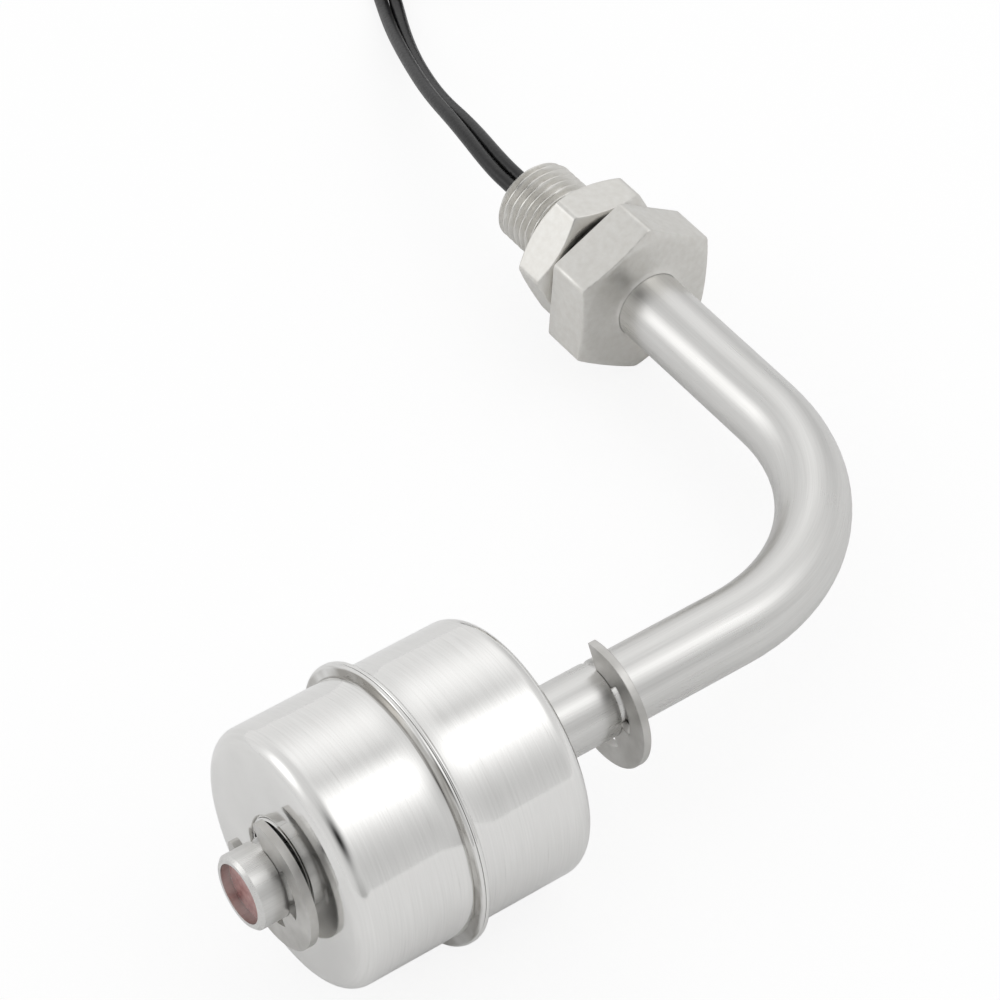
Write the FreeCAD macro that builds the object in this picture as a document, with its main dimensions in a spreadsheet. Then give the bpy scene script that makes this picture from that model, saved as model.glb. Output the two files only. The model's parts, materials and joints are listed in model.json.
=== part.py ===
import FreeCAD, Part
import math
import os

import Sketcher
from FreeCAD import Placement, Rotation, Vector

# A side-mounted float level switch.  A bent stainless tube carries a magnetic float on one arm
# and a threaded fitting on the other; a reed contact inside the float arm closes when the
# float's magnet comes near, and two leads run back through the tube and out of the thread.
#
# Everything is drawn on the switch's own two axes: the thread arm runs along +X, the float arm
# along +Y, and they would cross at the origin.  The whole switch is then laid down on the
# surface that it rests on, z = 0, with +X under the thread arm and the origin under its middle.

SIZES = {
    # bent tube
    "tube_diameter": 8.0,
    "tube_wall": 0.8,
    "bend_radius": 22.0,
    "thread_arm": 64.0,
    "float_arm": 81.0,
    "tube_end_chamfer": 0.35,
    # closed tip of the tube
    "tip_recess": 1.0,
    "tip_plug_length": 2.0,
    "tip_seal_depth": 0.4,
    # threaded fitting
    "thread_diameter": 10.0,
    "thread_pitch": 1.0,
    "thread_length": 15.0,
    "thread_lead_in": 0.6,
    "head_across_flats": 17.0,
    "head_turned": 33.0,
    "head_height": 6.2,
    "head_dome_radius": 10.75,
    "head_weld": 1.1,
    "weld_toe": 0.18,
    "socket_depth": 4.0,
    "socket_gap": 0.04,
    # seal and lock nut on the thread
    "thread_clearance": 0.05,
    "seal_diameter": 13.6,
    "seal_thickness": 1.6,
    "seal_rounding": 0.4,
    "nut_across_flats": 15.0,
    "nut_height": 5.0,
    "nut_dome_depth": 14.0,
    "nut_dome_radius": 15.7,
    "nut_countersink": 0.5,
    "nut_turned": 6.0,
    # spring clips in grooves of the float arm
    "clip_groove_diameter": 7.0,
    "clip_groove_play": 0.05,
    "clip_thickness": 0.9,
    "clip_diameter": 14.3,
    "clip_set_back": 0.45,
    "clip_relief_diameter": 10.2,
    "clip_mouth": 4.7,
    "clip_mouth_flare": 17.0,
    "clip_lug_half": 20.0,
    "clip_relief": 68.0,
    "clip_corner": 0.6,
    "lower_clip_to_tip": 4.0,
    "lower_clip_turned": 33.0,
    "upper_clip_turned": 26.0,
    # float
    "float_diameter": 27.6,
    "float_length": 27.0,
    "float_wall": 0.25,
    "float_rim_radius": 2.0,
    "float_play": 1.0,
    "float_travel": 10.3,
    "seam_from_front": 13.0,
    "seam_height": 1.3,
    "seam_flange": 0.65,
    "seam_rounding": 0.45,
    "sleeve_bore": 9.5,
    "sleeve_wall": 0.25,
    "weld_gap": 0.03,
    "bore_contact_gap": 0.05,
    # ring magnet inside the float
    "magnet_diameter": 16.0,
    "magnet_length": 5.0,
    "magnet_gap": 0.1,
    # reed contact inside the tube
    "reed_offset": 1.15,
    "reed_glass_diameter": 1.8,
    "reed_glass_wall": 0.3,
    "reed_glass_length": 12.0,
    "reed_centre_to_tip": 18.0,
    "reed_wire_diameter": 0.5,
    "reed_wire_length": 4.0,
    "reed_blade_width": 0.8,
    "reed_blade_thickness": 0.2,
    "reed_contact_gap": 0.1,
    "reed_overlap": 1.4,
    "reed_wire_inside": 0.8,
    "reed_sleeve_wall": 0.15,
    "reed_sleeve_extra": 1.5,
    "solder_diameter": 1.3,
    "solder_length": 2.4,
    # leads
    "lead_diameter": 1.6,
    "lead_spacing": 1.7,
    "potting_length": 6.0,
    "potting_recess": 1.5,
    "lead_straight": 8.0,
    "coil_centre_x": 97.4,
    "coil_centre_y": -63.8,
    "coil_mean_radius": 8.5,
    "coil_width": 7.4,
    "coil_height": 4.6,
    "lead_tip_diameter": 0.9,
    "lead_tip_length": 6.0,
    "lead_tip_turned": -30.0,
}

document = FreeCAD.newDocument("float_level_switch")
sheet = document.addObject("Spreadsheet::Sheet", "Sizes")
for row, (size_name, amount) in enumerate(SIZES.items(), start=1):
    sheet.set(f"A{row}", size_name)
    sheet.set(f"B{row}", str(amount))
    sheet.setAlias(f"B{row}", size_name)
document.recompute()


class Size:
    """A length or an angle: its number now, and the words that give it from the sheet."""

    def __init__(self, number, words):
        self.number = number
        self.words = words

    def __add__(self, other):
        other = as_size(other)
        return Size(self.number + other.number, f"({self.words} + {other.words})")

    def __sub__(self, other):
        other = as_size(other)
        return Size(self.number - other.number, f"({self.words} - {other.words})")

    def __mul__(self, other):
        other = as_size(other)
        return Size(self.number * other.number, f"({self.words} * {other.words})")

    def __truediv__(self, other):
        other = as_size(other)
        return Size(self.number / other.number, f"({self.words} / {other.words})")

    def __neg__(self):
        return Size(-self.number, f"(0 - {self.words})")


def as_size(value):
    return value if isinstance(value, Size) else Size(float(value), repr(float(value)))


def cell(name):
    return Size(SIZES[name], f"Sizes.{name}")


def cosine(angle):
    return Size(math.cos(math.radians(angle.number)), f"cos({angle.words} * 1 deg)")


def sine(angle):
    return Size(math.sin(math.radians(angle.number)), f"sin({angle.words} * 1 deg)")


def tangent(angle):
    return Size(math.tan(math.radians(angle.number)), f"tan({angle.words} * 1 deg)")


ZERO = as_size(0)

# ---------------------------------------------------------------- stations along the two arms

tube_radius = cell("tube_diameter") / 2
bore_radius = tube_radius - cell("tube_wall")
bend_radius = cell("bend_radius")
thread_end = cell("thread_arm")
tip_end = cell("float_arm")

head_back = thread_end - cell("thread_length")
head_face = head_back - cell("head_height")
tube_end = head_face + cell("socket_depth")
seal_back = head_back + cell("seal_thickness")
nut_front = seal_back + cell("nut_height")

lower_clip_front = tip_end - cell("lower_clip_to_tip") + cell("clip_thickness")
lower_clip_back = lower_clip_front - cell("clip_thickness")
float_front = lower_clip_back - cell("float_play")
float_rear = float_front - cell("float_length")
upper_clip_front = float_rear - cell("float_travel")
upper_clip_back = upper_clip_front - cell("clip_thickness")
seam = float_front - cell("seam_from_front")
reed_centre = tip_end - cell("reed_centre_to_tip")
potting_face = thread_end - cell("potting_recess")

# how far the float's axis stands off the tube's axis when the tube lies in the float's bore
float_lift = cell("sleeve_bore") / 2 - tube_radius - cell("bore_contact_gap")

pieces = []     # every sub-part, in the order of assembly

# ---------------------------------------------------------------- small drawing helpers


def start_body(name):
    body = document.addObject("PartDesign::Body", name)
    body.Label = name
    pieces.append(body)
    return body


def start_sketch(body, name, plane="XY_Plane", offset=ZERO):
    """A sketch on one of the body's own planes, moved along that plane's normal."""
    sketch = body.newObject("Sketcher::SketchObject", f"{body.Name}_{name}")
    sketch.AttachmentSupport = [(role_plane, "") for role_plane in body.Origin.OriginFeatures
                                if role_plane.Role == plane]
    sketch.MapMode = "FlatFace"
    sketch.AttachmentOffset = Placement(Vector(0, 0, offset.number), Rotation())
    sketch.setExpression("AttachmentOffset.Base.z", offset.words)
    return sketch


def dimension(sketch, kind, size, *where):
    number = sketch.addConstraint(Sketcher.Constraint(kind, *where, size.number))
    sketch.setExpression(f"Constraints[{number}]", size.words)


def pin(sketch, element, point, across, up):
    """Hold one point of a sketch at its two distances from the sketch's origin."""
    dimension(sketch, "DistanceX", as_size(across), -1, 1, element, point)
    dimension(sketch, "DistanceY", as_size(up), -1, 1, element, point)


def draw_outline(sketch, corners):
    """A closed outline of straight lines through pinned corners."""
    corners = [(as_size(across), as_size(up)) for across, up in corners]
    ends = [Vector(across.number, up.number, 0) for across, up in corners]
    first = sketch.GeometryCount
    for start, end in zip(ends, ends[1:] + ends[:1]):
        sketch.addGeometry(Part.LineSegment(start, end), False)
    for index, (across, up) in enumerate(corners):
        before = first + (index - 1) % len(corners)
        sketch.addConstraint(Sketcher.Constraint("Coincident", before, 2, first + index, 1))
        pin(sketch, first + index, 1, across, up)


def draw_circle(sketch, across, up, radius):
    across, up = as_size(across), as_size(up)
    circle = Part.Circle(Vector(across.number, up.number, 0), Vector(0, 0, 1), radius.number)
    element = sketch.addGeometry(circle, False)
    pin(sketch, element, 3, across, up)
    dimension(sketch, "Radius", radius, element)


def finish(body, feature):
    """Make a feature the body's tip, and make sure that it changed the solid."""
    earlier = body.Shape.Volume if body.Tip and not body.Shape.isNull() else 0.0
    body.Tip = feature
    document.recompute()
    if abs(body.Shape.Volume - earlier) < 1e-6:
        raise ValueError(f"{feature.Name} changed nothing")


def add_revolved(body, name, sketch, axis, cut):
    kind = "PartDesign::Groove" if cut else "PartDesign::Revolution"
    feature = body.newObject(kind, f"{body.Name}_{name}")
    feature.Profile = sketch
    feature.ReferenceAxis = (sketch, [axis])
    feature.Angle = 360
    finish(body, feature)


def turn_on_thread_arm(body, name, profile, cut=False):
    """Revolve a profile of (along, radius) corners about the thread arm's axis."""
    sketch = start_sketch(body, f"{name}_profile")
    draw_outline(sketch, profile)
    add_revolved(body, name, sketch, "H_Axis", cut)


def turn_on_float_arm(body, name, profile, cut=False):
    """Revolve a profile of (along, radius) corners about the float arm's axis."""
    sketch = start_sketch(body, f"{name}_profile")
    draw_outline(sketch, [(radius, along) for along, radius in profile])
    add_revolved(body, name, sketch, "V_Axis", cut)


def extrude(body, name, sketch, length):
    feature = body.newObject("PartDesign::Pad", f"{body.Name}_{name}")
    feature.Profile = sketch
    feature.Length = length.number
    feature.setExpression("Length", length.words)
    finish(body, feature)


def cut_through(body, name, sketch):
    feature = body.newObject("PartDesign::Pocket", f"{body.Name}_{name}")
    feature.Profile = sketch
    feature.Type = "ThroughAll"
    feature.Reversed = True
    finish(body, feature)


def round_edges(body, name, radius, wanted):
    """Round the edges of the body so far that `wanted` picks."""
    base = body.Tip
    edges = [f"Edge{number}" for number, edge in enumerate(base.Shape.Edges, start=1) if wanted(edge)]
    feature = body.newObject("PartDesign::Fillet", f"{body.Name}_{name}")
    feature.Base = (base, edges)
    feature.Radius = radius.number
    feature.setExpression("Radius", radius.words)
    finish(body, feature)


def rim_on(axis, along, radius):
    """A test for the circular edges at one station and radius on an arm's axis."""
    def wanted(edge):
        if not isinstance(edge.Curve, Part.Circle):
            return False
        centre = edge.Curve.Center
        station = centre.x if axis == "thread" else centre.y
        return abs(station - along.number) < 1e-4 and abs(edge.Curve.Radius - radius.number) < 1e-4
    return wanted


def hexagon(across_flats, turned):
    corner_radius = across_flats / math.sqrt(3)
    return [(corner_radius * cosine(turned + 60 * side), corner_radius * sine(turned + 60 * side))
            for side in range(6)]


def round_corners(body, name, face, across_flats, depth, radius, inwards):
    """Turn a hexagon's corners at one face down to a ball centred on the axis, `depth` below the face."""
    sketch = start_sketch(body, f"{name}_profile")
    centre = face + depth * inwards
    outside = (across_flats / math.sqrt(3) + radius) / 2
    at_face = math.sqrt(radius.number ** 2 - depth.number ** 2)
    at_top = centre.number - inwards * math.sqrt(radius.number ** 2 - outside.number ** 2)
    low, high, corner = (Vector(face.number, at_face, 0), Vector(at_top, outside.number, 0),
                         Vector(face.number, outside.number, 0))
    first, last = (high, low) if inwards > 0 else (low, high)
    circle = Part.Circle(Vector(centre.number, 0, 0), Vector(0, 0, 1), radius.number)
    arc = sketch.addGeometry(Part.ArcOfCircle(circle, circle.parameter(first), circle.parameter(last)), False)
    pin(sketch, arc, 3, centre, ZERO)
    dimension(sketch, "Radius", radius, arc)
    at_low, at_high = (2, 1) if inwards > 0 else (1, 2)
    upright = sketch.addGeometry(Part.LineSegment(low, corner), False)
    level = sketch.addGeometry(Part.LineSegment(corner, high), False)
    sketch.addConstraint(Sketcher.Constraint("Coincident", arc, at_low, upright, 1))
    sketch.addConstraint(Sketcher.Constraint("Coincident", upright, 2, level, 1))
    sketch.addConstraint(Sketcher.Constraint("Coincident", level, 2, arc, at_high))
    pin(sketch, upright, 2, face, outside)
    sketch.addConstraint(Sketcher.Constraint("Vertical", upright))
    sketch.addConstraint(Sketcher.Constraint("Horizontal", level))
    add_revolved(body, name, sketch, "H_Axis", True)


# ---------------------------------------------------------------- bent tube


def make_stem_tube():
    """Drawn tube, bent once through a right angle, with two grooves turned in the float arm."""
    body = start_body("stem_tube")
    path = start_sketch(body, "path")
    centre = Vector(bend_radius.number, bend_radius.number, 0)
    path.addGeometry(Part.LineSegment(Vector(tube_end.number, 0, 0), Vector(centre.x, 0, 0)), False)
    arc = Part.ArcOfCircle(Part.Circle(centre, Vector(0, 0, 1), bend_radius.number), math.pi, 1.5 * math.pi)
    path.addGeometry(arc, False)
    path.addGeometry(Part.LineSegment(Vector(0, centre.y, 0), Vector(0, tip_end.number, 0)), False)
    pin(path, 0, 1, tube_end, ZERO)
    path.addConstraint(Sketcher.Constraint("Horizontal", 0))
    path.addConstraint(Sketcher.Constraint("Tangent", 0, 2, 1, 2))
    path.addConstraint(Sketcher.Constraint("Tangent", 1, 1, 2, 1))
    dimension(path, "Radius", bend_radius, 1)
    pin(path, 2, 2, ZERO, tip_end)
    for name, radius, kind in (("outside", tube_radius, "PartDesign::AdditivePipe"),
                               ("bore", bore_radius, "PartDesign::SubtractivePipe")):
        section = start_sketch(body, f"{name}_section", "YZ_Plane", tube_end)
        draw_circle(section, ZERO, ZERO, radius)
        feature = body.newObject(kind, f"{body.Name}_{name}")
        feature.Profile = section
        feature.Spine = path
        finish(body, feature)
    groove_radius = cell("clip_groove_diameter") / 2
    for name, back in (("upper", upper_clip_back), ("lower", lower_clip_back)):
        start = back - cell("clip_groove_play")
        end = back + cell("clip_thickness") + cell("clip_groove_play")
        past_tube = tube_radius + cell("tube_wall")
        turn_on_float_arm(body, f"{name}_groove", [(start, groove_radius), (end, groove_radius),
                                                   (end, past_tube), (start, past_tube)], cut=True)
    chamfer = cell("tube_end_chamfer")
    turn_on_float_arm(body, "tip_chamfer", [(tip_end, tube_radius - chamfer),
                                            (tip_end, tube_radius + chamfer),
                                            (tip_end - chamfer * 2, tube_radius + chamfer)], cut=True)


def make_tip():
    """Plug pressed into the tube's end a little below its rim, sealed over with red lacquer."""
    seal_top = tip_end - cell("tip_recess")
    plug_top = seal_top - cell("tip_seal_depth")
    body = start_body("tip_plug")
    turn_on_float_arm(body, "disc", [(plug_top - cell("tip_plug_length"), ZERO), (plug_top, ZERO),
                                     (plug_top, bore_radius),
                                     (plug_top - cell("tip_plug_length"), bore_radius)])
    body = start_body("tip_sealant")
    turn_on_float_arm(body, "film", [(plug_top, ZERO), (seal_top, ZERO), (seal_top, bore_radius),
                                     (plug_top, bore_radius)])


# ---------------------------------------------------------------- threaded fitting, seal, nut


def make_threaded_fitting():
    """Hexagon head and threaded stub turned from one bar, bored through and socketed for the tube."""
    body = start_body("threaded_fitting")
    flats = cell("head_across_flats")
    sketch = start_sketch(body, "head_hexagon", "YZ_Plane", head_face)
    draw_outline(sketch, hexagon(flats, cell("head_turned")))
    extrude(body, "head", sketch, cell("head_height"))
    round_corners(body, "head_dome", head_face, flats, cell("head_height"), cell("head_dome_radius"), 1)
    thread_radius = cell("thread_diameter") / 2
    lead_in = cell("thread_lead_in")
    turn_on_thread_arm(body, "stub", [(head_back, ZERO), (head_back, thread_radius),
                                      (thread_end - lead_in, thread_radius),
                                      (thread_end, thread_radius - lead_in), (thread_end, ZERO)])
    weld = cell("head_weld")
    turn_on_thread_arm(body, "weld_ring", [(head_face - weld, tube_radius), (head_face, tube_radius),
                                           (head_face, tube_radius + weld),
                                           (head_face - weld, tube_radius + weld)])
    sketch = start_sketch(body, "weld_hollow_profile")
    draw_circle(sketch, head_face - weld, tube_radius + weld, weld - cell("weld_toe"))
    add_revolved(body, "weld_hollow", sketch, "H_Axis", True)
    socket_radius = tube_radius + cell("socket_gap")
    past_end = thread_end + lead_in
    turn_on_thread_arm(body, "bore", [(head_face - weld * 2, ZERO), (head_face - weld * 2, socket_radius),
                                      (tube_end, socket_radius), (tube_end, bore_radius),
                                      (past_end, bore_radius), (past_end, ZERO)], cut=True)


def make_sealing_washer():
    """Flat rubber ring squeezed between the head and the nut when no wall is between them."""
    body = start_body("sealing_washer")
    inside = cell("thread_diameter") / 2 + cell("thread_clearance")
    outside = cell("seal_diameter") / 2
    turn_on_thread_arm(body, "ring", [(head_back, inside), (seal_back, inside),
                                      (seal_back, outside), (head_back, outside)])
    round_edges(body, "rim", cell("seal_rounding"),
                lambda edge: rim_on("thread", head_back, outside)(edge)
                or rim_on("thread", seal_back, outside)(edge))


def make_lock_nut():
    """Thin lock nut, chamfered on both faces, run up against the seal."""
    body = start_body("lock_nut")
    flats = cell("nut_across_flats")
    sketch = start_sketch(body, "hexagon", "YZ_Plane", seal_back)
    draw_outline(sketch, hexagon(flats, cell("nut_turned")))
    extrude(body, "blank", sketch, cell("nut_height"))
    depth, radius = cell("nut_dome_depth"), cell("nut_dome_radius")
    for name, face, inwards in (("seal_side", seal_back, 1), ("free_side", nut_front, -1)):
        round_corners(body, f"{name}_dome", face, flats, depth, radius, inwards)
    bore = cell("thread_diameter") / 2 + cell("thread_clearance")
    sink = cell("nut_countersink")
    turn_on_thread_arm(body, "bore", [(seal_back - sink, ZERO), (seal_back - sink, bore + sink * 2),
                                      (seal_back + sink, bore), (nut_front - sink, bore),
                                      (nut_front + sink, bore + sink * 2), (nut_front + sink, ZERO)],
                       cut=True)


# ---------------------------------------------------------------- spring clips


def draw_slice(sketch, radius, start_angle, end_angle):
    """A slice of a disc about the sketch's origin, between two angles."""
    start, end = math.radians(start_angle.number), math.radians(end_angle.number)
    reach = radius.number
    first = sketch.GeometryCount
    sketch.addGeometry(Part.LineSegment(Vector(0, 0, 0),
                                        Vector(reach * math.cos(start), reach * math.sin(start), 0)), False)
    sketch.addGeometry(Part.ArcOfCircle(Part.Circle(Vector(0, 0, 0), Vector(0, 0, 1), reach), start, end),
                       False)
    sketch.addGeometry(Part.LineSegment(Vector(0, 0, 0),
                                        Vector(reach * math.cos(end), reach * math.sin(end), 0)), False)
    for side, angle in ((first, start_angle), (first + 2, end_angle)):
        sketch.addConstraint(Sketcher.Constraint("Coincident", side, 1, -1, 1))
        number = sketch.addConstraint(Sketcher.Constraint("Angle", side, math.radians(angle.number)))
        sketch.setExpression(f"Constraints[{number}]", f"{angle.words} * 1 deg")
    sketch.addConstraint(Sketcher.Constraint("Coincident", first + 1, 3, -1, 1))
    dimension(sketch, "Radius", radius, first + 1)
    sketch.addConstraint(Sketcher.Constraint("Coincident", first, 2, first + 1, 1))
    sketch.addConstraint(Sketcher.Constraint("Coincident", first + 2, 2, first + 1, 2))


def make_clip(name, front, turned):
    """E-shaped spring clip: an open ring with a lug at its back and one at the end of each prong.

    The lugs grip the groove; between them the ring stands clear of the tube.  `turned` is the
    way its mouth points, from +X towards +Z.
    """
    body = start_body(name)
    set_back = cell("clip_set_back")
    sketch = start_sketch(body, "disc_outline", "XZ_Plane", -front)
    draw_circle(sketch, -set_back * cosine(turned), -set_back * sine(turned), cell("clip_diameter") / 2)
    extrude(body, "disc", sketch, cell("clip_thickness"))
    sketch = start_sketch(body, "seat_outline", "XZ_Plane", -front)
    draw_circle(sketch, ZERO, ZERO, cell("clip_groove_diameter") / 2)
    cut_through(body, "seat", sketch)
    sketch = start_sketch(body, "mouth_outline", "XZ_Plane", -front)
    half, reach = cell("clip_mouth") / 2, cell("clip_diameter")
    wide = half + reach * tangent(cell("clip_mouth_flare"))
    ahead, aside = (cosine(turned), sine(turned)), (-sine(turned), cosine(turned))
    draw_outline(sketch, [(ahead[0] * along + aside[0] * across, ahead[1] * along + aside[1] * across)
                          for along, across in ((ZERO, -half), (reach, -wide), (reach, wide), (ZERO, half))])
    cut_through(body, "mouth", sketch)
    back = turned + 180
    for side, start in (("left", back + cell("clip_lug_half")),
                        ("right", back - cell("clip_lug_half") - cell("clip_relief"))):
        sketch = start_sketch(body, f"{side}_relief_outline", "XZ_Plane", -front)
        draw_slice(sketch, cell("clip_relief_diameter") / 2, start, start + cell("clip_relief"))
        cut_through(body, f"{side}_relief", sketch)
    outer = cell("clip_diameter").number / 2
    round_edges(body, "prong_ends", cell("clip_corner"),
                lambda edge: abs(abs(edge.Vertexes[0].Y - edge.Vertexes[-1].Y) -
                                 cell("clip_thickness").number) < 1e-6
                and math.hypot(edge.CenterOfMass.x, edge.CenterOfMass.z) > outer - 2)


# ---------------------------------------------------------------- float


def make_float():
    """Two drawn cups welded rim to rim on a through sleeve, with a ring magnet shut inside."""
    outside = cell("float_diameter") / 2
    wall = cell("float_wall")
    flange = cell("seam_flange")
    rim = outside + cell("seam_height")
    sleeve_inside = cell("sleeve_bore") / 2
    sleeve_outside = sleeve_inside + cell("sleeve_wall")
    hole = sleeve_outside + cell("weld_gap")
    for name, end, inwards in (("float_upper_shell", float_rear, 1), ("float_lower_shell", float_front, -1)):
        body = start_body(name)
        seam_back = seam - flange * inwards
        turn_on_float_arm(body, "cup", [(end, hole), (end, outside), (seam_back, outside),
                                        (seam_back, rim), (seam, rim), (seam, outside - wall),
                                        (end + wall * inwards, outside - wall), (end + wall * inwards, hole)])
        round_edges(body, "outer_rim", cell("float_rim_radius"), rim_on("float", end, outside))
        round_edges(body, "inner_rim", cell("float_rim_radius") - wall,
                    rim_on("float", end + wall * inwards, outside - wall))
        round_edges(body, "bead", cell("seam_rounding"), rim_on("float", seam_back, rim))
    body = start_body("float_sleeve")
    turn_on_float_arm(body, "sleeve", [(float_rear, sleeve_inside), (float_rear, sleeve_outside),
                                       (float_front, sleeve_outside), (float_front, sleeve_inside)])
    gap = cell("magnet_gap")
    magnet_front = float_front - wall - gap
    magnet_rear = magnet_front - cell("magnet_length")
    body = start_body("float_magnet")
    turn_on_float_arm(body, "ring", [(magnet_rear, sleeve_outside + gap),
                                     (magnet_rear, cell("magnet_diameter") / 2),
                                     (magnet_front, cell("magnet_diameter") / 2),
                                     (magnet_front, sleeve_outside + gap)])


# ---------------------------------------------------------------- reed contact and inner leads


def make_reed_switch():
    """Two springy blades sealed in a glass capsule inside a shrunk-on sleeve.

    They are drawn on the float arm's axis and set beside it afterwards, to leave room for the
    long lead that passes them.
    """
    glass_radius = cell("reed_glass_diameter") / 2
    glass_half = cell("reed_glass_length") / 2
    glass_wall = cell("reed_glass_wall")
    wire_radius = cell("reed_wire_diameter") / 2
    seal_half = glass_half - glass_wall * 4
    cavity_half = seal_half - glass_wall
    body = start_body("reed_glass")
    turn_on_float_arm(body, "capsule", [(reed_centre - glass_half, wire_radius),
                                        (reed_centre - glass_half, glass_radius),
                                        (reed_centre + glass_half, glass_radius),
                                        (reed_centre + glass_half, wire_radius),
                                        (reed_centre + seal_half, wire_radius),
                                        (reed_centre + cavity_half, glass_radius - glass_wall),
                                        (reed_centre - cavity_half, glass_radius - glass_wall),
                                        (reed_centre - seal_half, wire_radius)])
    for name, end in (("near", reed_centre - glass_half), ("far", reed_centre + glass_half)):
        round_edges(body, f"{name}_seal", glass_wall, rim_on("float", end, glass_radius))
    half_width = cell("reed_blade_width") / 2
    half_overlap = cell("reed_overlap") / 2
    for name, outwards in (("near", -1), ("far", 1)):
        body = start_body(f"reed_blade_{name}")
        wire_end = reed_centre + (glass_half + cell("reed_wire_length")) * outwards
        root = reed_centre + cavity_half * outwards
        wire_start = root - cell("reed_wire_inside") * outwards
        turn_on_float_arm(body, "wire", [(wire_start, ZERO), (wire_start, wire_radius),
                                         (wire_end, wire_radius), (wire_end, ZERO)])
        free_end = reed_centre - half_overlap * outwards
        height = cell("reed_contact_gap") / 2
        if outwards > 0:
            height = -height - cell("reed_blade_thickness")
        sketch = start_sketch(body, "blade_outline", "XY_Plane", height)
        draw_outline(sketch, [(-half_width, root), (half_width, root),
                              (half_width, free_end), (-half_width, free_end)])
        extrude(body, "blade", sketch, cell("reed_blade_thickness"))
    body = start_body("reed_sleeve")
    inside = glass_radius + cell("weld_gap")
    outside = inside + cell("reed_sleeve_wall")
    sleeve_half = glass_half + cell("reed_sleeve_extra")
    turn_on_float_arm(body, "tube", [(reed_centre - sleeve_half, inside), (reed_centre - sleeve_half, outside),
                                     (reed_centre + sleeve_half, outside), (reed_centre + sleeve_half, inside)])


def make_inner_lead(name, side, end):
    """One lead's run inside the tube, from the potting round the bend to its soldered end."""
    body = start_body(name)
    path = start_sketch(body, "path")
    beside = cell("lead_spacing") / 2 * side
    radius = bend_radius - beside
    centre = Vector(bend_radius.number, bend_radius.number, 0)
    path.addGeometry(Part.LineSegment(Vector(potting_face.number, beside.number, 0),
                                      Vector(centre.x, beside.number, 0)), False)
    arc = Part.ArcOfCircle(Part.Circle(centre, Vector(0, 0, 1), radius.number), math.pi, 1.5 * math.pi)
    path.addGeometry(arc, False)
    path.addGeometry(Part.LineSegment(Vector(beside.number, centre.y, 0),
                                      Vector(beside.number, end.number, 0)), False)
    pin(path, 0, 1, potting_face, beside)
    path.addConstraint(Sketcher.Constraint("Horizontal", 0))
    path.addConstraint(Sketcher.Constraint("Tangent", 0, 2, 1, 2))
    path.addConstraint(Sketcher.Constraint("Tangent", 1, 1, 2, 1))
    dimension(path, "Radius", radius, 1)
    pin(path, 2, 2, beside, end)
    section = start_sketch(body, "section", "YZ_Plane", potting_face)
    draw_circle(section, beside, ZERO, cell("lead_diameter") / 2)
    feature = body.newObject("PartDesign::AdditivePipe", f"{name}_sweep")
    feature.Profile = section
    feature.Spine = path
    finish(body, feature)


def make_inner_wiring():
    """Both leads as far as the potting, the potting itself and the two soldered joints."""
    reach = cell("reed_glass_length") / 2 + cell("reed_wire_length")
    near_end = reed_centre - reach
    far_start = reed_centre + reach - cell("solder_length") / 2
    make_inner_lead("inner_lead_a", 1, far_start)
    make_inner_lead("inner_lead_b", -1, near_end)
    body = start_body("potting_plug")
    sketch = start_sketch(body, "outline", "YZ_Plane", potting_face - cell("potting_length"))
    draw_circle(sketch, ZERO, ZERO, bore_radius)
    for side in (1, -1):
        draw_circle(sketch, cell("lead_spacing") / 2 * side, ZERO, cell("lead_diameter") / 2)
    extrude(body, "plug", sketch, cell("potting_length"))
    wire_radius = cell("reed_wire_diameter") / 2
    body = start_body("solder_near")
    turn_on_float_arm(body, "joint", [(near_end, wire_radius), (near_end, cell("solder_diameter") / 2),
                                      (near_end + cell("solder_length"), cell("solder_diameter") / 2),
                                      (near_end + cell("solder_length"), wire_radius)])
    body = start_body("solder_far")
    half = cell("solder_diameter") / 2
    across = cell("reed_offset") + cell("lead_spacing") / 2
    sketch = start_sketch(body, "outline", "XZ_Plane", -far_start - cell("solder_length") / 2)
    draw_outline(sketch, [(-half, -half), (across + half, -half), (across + half, half), (-half, half)])
    draw_circle(sketch, ZERO, ZERO, wire_radius)
    extrude(body, "joint", sketch, cell("solder_length") / 2)


# ---------------------------------------------------------------- free leads


# beyond their straight start the leads droop to the surface side by side and half twisted
LEAD_ROUTE_A = [(55.2, -36.7, 10.5), (64.3, -38.7, 8.2), (73.4, -41.7, 5.5),
                (81.4, -44.7, 3.0), (89.1, -48.1, 0.8), (97.3, -51.7, 0.8)]
LEAD_ROUTE_B = [(54.8, -38.3, 9.7), (63.7, -39.9, 7.0), (72.6, -42.7, 4.3),
                (80.6, -45.9, 2.0), (88.3, -49.6, 0.8), (96.6, -53.3, 0.8)]


def lead_path(points):
    """Straight runs joined by tangent arcs, each as large as its two runs allow."""
    points = [Vector(*point) for point in points]
    edges, radii = [], []
    here = points[0]
    for before, corner, after in zip(points, points[1:], points[2:]):
        coming, going = (corner - before), (after - corner)
        reach = 0.45 * min(coming.Length, going.Length)
        coming.normalize()
        going.normalize()
        half_turn = coming.getAngle(going) / 2
        radius = reach / math.tan(half_turn)
        start, end = corner - coming * reach, corner + going * reach
        middle = corner + (going - coming).normalize() * (radius / math.cos(half_turn) - radius)
        edges += [Part.LineSegment(here, start).toShape(), Part.Arc(start, middle, end).toShape()]
        radii.append(round(radius, 1))
        here = end
    edges.append(Part.LineSegment(here, points[-1]).toShape())
    return Part.Wire(edges), radii


def add_shape(name, shape):
    feature = document.addObject("Part::Feature", name)
    feature.Label = name
    feature.Shape = shape
    return feature


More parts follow.
